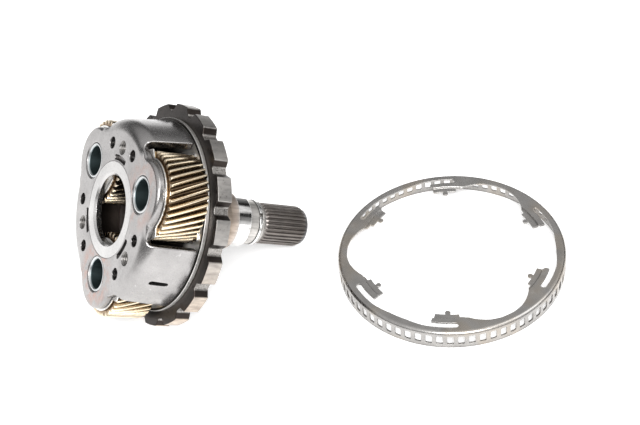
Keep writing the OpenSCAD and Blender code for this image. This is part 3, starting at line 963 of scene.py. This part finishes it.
def hub_steel():
    p = metal("hub_steel_turned", (0.62, 0.61, 0.6), (0.5, 0.49, 0.485), 0.26, 0.1, reach=4)
    turned_bump(p, 3.2, 0.22)
    return p.owner


def rear_plate_steel():
    """Near black, for dark oil and for painted shade inside the cage, with a bright ground band on its
    front face and a bright rim.
    """
    # Painted shade: the near-black base stands in for the shade inside the cage as well as for dark oil.
    p = metal("rear_plate_steel_oiled_shaded", (0.025, 0.021, 0.019), (0.012, 0.01, 0.009), 0.35, 0.15, reach=8)
    band = p.times(p.range(p.radius(), 46, 54), p.range(p.radius(), 67.6, 67.2))
    ground = p.times(band, p.range(p.facing(), 0.1, -0.1))
    rim = p.range(p.radius(), 69.2, 69.45)
    p.set(Base_Color=p.mix(p.math("MAXIMUM", ground, rim), p.colour, (0.86, 0.84, 0.81)))
    turned_bump(p, 1.6, 0.3)
    return p.owner


def park_gear_steel():
    """Nearly black faces, with lands rubbed bright and tan, painted lighter and warmer towards the gear's
    lower side, and rough grey floors in the gaps.
    """
    p = metal("park_gear_steel_worn_lit", (0.052, 0.043, 0.039), (0.024, 0.02, 0.018), 0.4, 0.2, reach=5)
    r = p.radius()
    land = p.range(r, 79.2, 79.8)
    floor = p.times(p.range(r, 76.3, 75.6), p.range(r, 73.5, 74.5))
    x, _, _ = p.axes(p.mm)
    # Painted light: the lands get lighter and warmer towards the gear's lower side.
    warm = p.range(x, 30, -40)
    wear = p.range(p.noise(0.35, 4, p.stretch(1, 1, 0.35)), 0.3, 0.7)
    lands = p.mix(warm, p.mix(wear, (0.27, 0.26, 0.25), (0.42, 0.4, 0.38)),
                  p.mix(wear, (0.36, 0.29, 0.235), (0.66, 0.56, 0.46)))
    grit = p.range(p.noise(1.4, 3), 0.35, 0.65)
    floors = p.mix(grit, (0.16, 0.15, 0.14), (0.44, 0.42, 0.4))
    side = p.range(p.math("ABSOLUTE", p.facing()), 0.75, 0.45)
    base = p.mix(p.times(land, side), p.colour, lands)
    base = p.mix(p.times(floor, side), base, floors)
    scratch = p.noise(1.0, 3, p.stretch(1.4, 1.4, 0.25))
    p.set(Base_Color=base, Roughness=p.range(p.noise(0.7, 3), 0.3, 0.7, 0.26, 0.46),
          Normal=p.bump(scratch, 0.4, 0.12))
    return p.owner


def shaft_steel():
    """Brown collar, bright ground journal, grey shoulder and dark splines."""
    p = metal("shaft_steel_ground", (1, 1, 1), (0.86, 0.86, 0.86), 0.2, 0.08, reach=3, dirt_and_shade=0.85)
    _, _, z = p.axes(p.mm)
    polished = (0.88, 0.87, 0.86)
    zones = [(-3, (0.2, 0.18, 0.17)), (30, (0.26, 0.23, 0.21)), (46, (0.34, 0.28, 0.23)),
             (50, (0.5, 0.42, 0.36)), (52.6, (0.55, 0.5, 0.46)), (53.2, polished), (64.4, polished),
             (65.2, (0.56, 0.54, 0.52)), (GROOVE_Z, (0.62, 0.6, 0.57)), (78.5, (0.5, 0.48, 0.46)),
             (81, (0.25, 0.225, 0.21)), (114, (0.21, 0.19, 0.175)), (116, (0.12, 0.115, 0.115)),
             (119, (0.1, 0.098, 0.1))]
    # Painted shade, with dark oil, darkens the crevices.
    base = p.mix(p.times(p.closed, 0.8), p.ramp(z, zones), DIRT_AND_SHADE)
    rub = p.range(p.noise(0.5, 3, p.stretch(1, 1, 0.2)), 0.3, 0.7, 0.72, 1.15)
    shaded = p.node("ShaderNodeVectorMath", 0, {0: base, 3: rub}, operation="SCALE")
    ground = p.times(p.range(z, 53, 53.4), p.range(z, 65.2, 64.8))
    p.set(Base_Color=shaded, Roughness=p.mix(ground, (0.36,) * 3, (0.07,) * 3))
    turned_bump(p, 2.6, 0.12)
    return p.owner


def pinion_steel():
    """Polished teeth under a warm film of oil, darker brown towards the tooth roots, with painted shade
    on the teeth deep inside the cage.
    """
    p = metal("pinion_steel_oiled_shaded", (0.95, 0.84, 0.66), (0.8, 0.65, 0.45), 0.24, 0.12, reach=2, dirt_and_shade=0)
    r = p.radius()
    depth = p.range(r, 29.6, 27)
    gap = p.mix(p.noise(0.4, 2), (0.2, 0.13, 0.075), (0.32, 0.22, 0.13))
    colour = p.mix(p.math("POWER", depth, 0.8), p.colour, gap)
    # Painted shade: a 45 mm occlusion reach darkens the teeth enclosed by the cage.
    colour = p.mix(p.range(p.crevice(45), 0.44, 0.28), colour, (0.05, 0.038, 0.03))
    flank_lines = p.noise(1.3, 2, p.stretch(1, 1, 0.12))
    p.set(Base_Color=colour, Normal=p.bump(flank_lines, 0.12))
    return p.owner


def pin_steel():
    """Hardened pin: bright ground end, and a bore painted dark blue-black as shade."""
    p = metal("pin_steel_hardened_shaded", (0.62, 0.63, 0.63), (0.45, 0.47, 0.48), 0.2, 0.08, reach=2)
    # Painted shade: the deep bore is made dark blue-black.
    bore = p.range(p.radius(), 10.9, 10.5)
    p.set(Base_Color=p.mix(bore, p.colour, (0.13, 0.175, 0.18)),
          Roughness=p.range(bore, 0, 1, 0.2, 0.42))
    turned_bump(p, 3, 0.12)
    return p.owner


def ring_steel():
    """Warm grey zinc on pressed sheet, mottled, with light draw marks round the band."""
    p = metal("ring_steel_zinc", (0.42, 0.408, 0.395), (0.31, 0.3, 0.29), 0.3, 0.16, reach=2.5, grain=0.3,
              patch=0.07)
    warm = p.range(p.noise(0.03, 2), 0.5, 0.62, 0, 0.5)
    colour = p.mix(warm, p.colour, (0.42, 0.36, 0.29))
    streak = p.range(p.noise(1.0, 2, p.stretch(0.12, 0.12, 2.2)), 0.62, 0.7, 0, 0.3)
    p.set(Base_Color=p.mix(streak, colour, (0.55, 0.53, 0.51)))
    return p.owner


def simple_metals():
    """Small parts that show little: one metal recipe, with a finish, two colours and a roughness."""
    recipes = (
        ("spring_steel", "bright", (0.9, 0.9, 0.89), (0.8, 0.8, 0.79), 0.16, {"reach": 1.5}),
        ("washer_steel", "bright", (0.86, 0.85, 0.83), (0.72, 0.71, 0.69), 0.2, {"reach": 1}),
        ("washer_bronze", "inner_shade", (0.66, 0.5, 0.31), (0.48, 0.35, 0.2), 0.3, {"reach": 1}),
        ("bush_bronze", "satin", (0.66, 0.45, 0.24), (0.5, 0.33, 0.17), 0.3, {"reach": 3}),
        ("needle_steel", "polished", (0.84, 0.84, 0.84), (0.74, 0.74, 0.74), 0.14, {"reach": 1}),
        # Painted shade: the thread's darker colours and strong crevice darkening stand in for the shade
        # inside the tapped holes.
        ("thread_steel_shaded", "cut", (0.3, 0.29, 0.28), (0.2, 0.19, 0.18), 0.3, {"reach": 4, "dirt_and_shade": 0.95}))
    return {slot: metal(f"{slot}_{finish}", bright, dull, rough, **more).owner
            for slot, finish, bright, dull, rough, more in recipes}


# ---------------------------------------------------------------- the object
def build_carrier(metals):
    piece("cage", cage_solid(), CARRIER, carrier_steel(), "carrier", ["carrier_cage"])
    for i, angle in enumerate(LEG_ANGLES, 1):
        place = CARRIER @ spin(angle) @ Matrix.Translation((TAPPED_CIRCLE_R * MM, 0, 0))
        piece(f"tapped_thread_{i}", thread_solid(), place, metals["thread_steel_shaded"], "carrier")
    piece("hub_ring_turned", hub_ring_solid(), CARRIER, hub_steel(), "carrier", ["hub_ring"])
    piece("rear_plate_disc", rear_plate_solid(), CARRIER, rear_plate_steel(), "carrier",
          ["rear_plate"])
    piece("parking_gear", park_gear_solid(), CARRIER, park_gear_steel(), "carrier",
          ["park_gear"])
    piece("splined_shaft", shaft_solid(), CARRIER, shaft_steel(), "carrier",
          ["output_shaft"])
    piece("shaft_bush", bush_solid(), CARRIER, metals["bush_bronze"], "carrier",
          ["pilot_bush"])
    piece("snap_ring", snap_ring_solid(), CARRIER, metals["spring_steel"], "carrier",
          ["shaft_snap_ring"])


def build_planets(metals):
    tooth_metal, pin_metal = pinion_steel(), pin_steel()
    steel, bronze = (26, 31), (25.4, 29.5)
    washers = (("front_steel", PLATE_Z, steel), ("front_bronze", PLATE_Z + WASHER_T, bronze),
               ("rear_bronze", REAR_Z - 2 * WASHER_T, bronze), ("rear_steel", REAR_Z - WASHER_T, steel))
    for k, angle in enumerate(PIN_ANGLES, 1):
        place = pin_frame(angle)
        piece(f"pin_{k}", pin_solid(), place, pin_metal, "carrier", [f"pinion_pin_{k}"])
        piece(f"needle_row_{k}", needles_solid(), place, metals["needle_steel"], f"needles_{k}",
              [f"needle_rollers_{k}"])
        piece(f"helical_pinion_{k}", pinion_solid(), place, tooth_metal, f"pinion_{k}",
              [f"pinion_{k}"])
        for kind, z, (r, ear) in washers:
            slot = "washer_steel" if "steel" in kind else "washer_bronze"
            piece(f"{kind}_thrust_washer_{k}", washer_solid(z, r, ear), place, metals[slot], "carrier",
                  [f"{kind}_washer_{k}"])


def build_object():
    metals = simple_metals()
    build_carrier(metals)
    build_planets(metals)
    piece("slotted_ring", sensor_ring_solid(), RING, ring_steel(), "sensor_ring",
          ["sensor_ring"])


# ---------------------------------------------------------------- camera, floor and light
CAMERA_PLACE = Vector((-0.2166, -0.5924, 0.6298))
CAMERA_AIM = Vector((0.0114, 0.0206, 0.04))
CAMERA_ROLL = -7.73
CAMERA_LENS = 66.3
SENSOR_WIDTH = 36


def add_camera():
    camera = bpy.data.cameras.new("camera")
    camera.lens = CAMERA_LENS
    camera.sensor_width = SENSOR_WIDTH
    camera.sensor_fit = "HORIZONTAL"
    obj = bpy.data.objects.new("camera", camera)
    look = (CAMERA_AIM - CAMERA_PLACE).to_track_quat("-Z", "Y").to_matrix().to_4x4()
    obj.matrix_world = Matrix.Translation(CAMERA_PLACE) @ look @ spin(CAMERA_ROLL)
    bpy.context.scene.collection.objects.link(obj)
    bpy.context.scene.camera = obj


def add_floor():
    mesh = bpy.data.meshes.new("floor")
    half = 4
    corners = [(-half, -half, 0), (half, -half, 0), (half, half, 0), (-half, half, 0)]
    mesh.from_pydata(corners, [], [(0, 1, 2, 3)])
    p = Paint(bpy.data.materials.new("floor_white"))
    p.set(Base_Color=(0.93, 0.93, 0.93, 1), Roughness=0.9, Specular_IOR_Level=0.1,
          Emission_Color=(1, 1, 1, 1), Emission_Strength=0.35)
    mesh.materials.append(p.owner)
    floor = bpy.data.objects.new("floor", mesh)
    bpy.context.scene.collection.objects.link(floor)


def add_lamp(name, place, aim, size, power):
    lamp = bpy.data.lights.new(name, "AREA")
    lamp.shape = "RECTANGLE"
    lamp.size, lamp.size_y = size
    lamp.energy = power
    obj = bpy.data.objects.new(name, lamp)
    look = (Vector(aim) - Vector(place)).to_track_quat("-Z", "Y").to_matrix().to_4x4()
    obj.matrix_world = Matrix.Translation(place) @ look
    bpy.context.scene.collection.objects.link(obj)


def add_studio():
    """White studio: brightest above and in front, with a dim horizon and one dark flag to the right."""
    world = bpy.data.worlds.new("studio")
    p = Paint(world)
    coords = p.tree.nodes.new("ShaderNodeTexCoord")
    x, y, z = p.axes(coords.outputs["Generated"])
    greys = ((0.0, 0.6), (0.12, 0.45), (0.2, 0.16), (0.3, 0.2), (0.45, 0.85), (0.75, 1), (1.0, 1))
    sky = p.ramp(z, [(height, (grey,) * 3) for height, grey in greys])
    depth = p.range(y, -0.6, 0.75, 1.35, 0.6)
    flag = p.times(p.range(x, 0.76, 0.82), p.times(p.range(z, 0.27, 0.3), p.range(z, 0.44, 0.41)))
    light = p.mix(flag, sky, (0.02,) * 3)
    background = p.tree.nodes["Background"]
    p.put(background.inputs["Color"], light)
    p.put(background.inputs["Strength"], depth)
    bpy.context.scene.world = world
    add_lamp("key", (-0.4, -1.15, 1.35), (0, 0, 0.04), (0.9, 0.6), 24)
    add_lamp("fill", (0.8, -0.5, 1.2), (0, 0, 0.03), (0.8, 0.8), 4)
    bpy.context.scene.view_settings.view_transform = "Standard"


build_object()
add_camera()
add_floor()
add_studio()
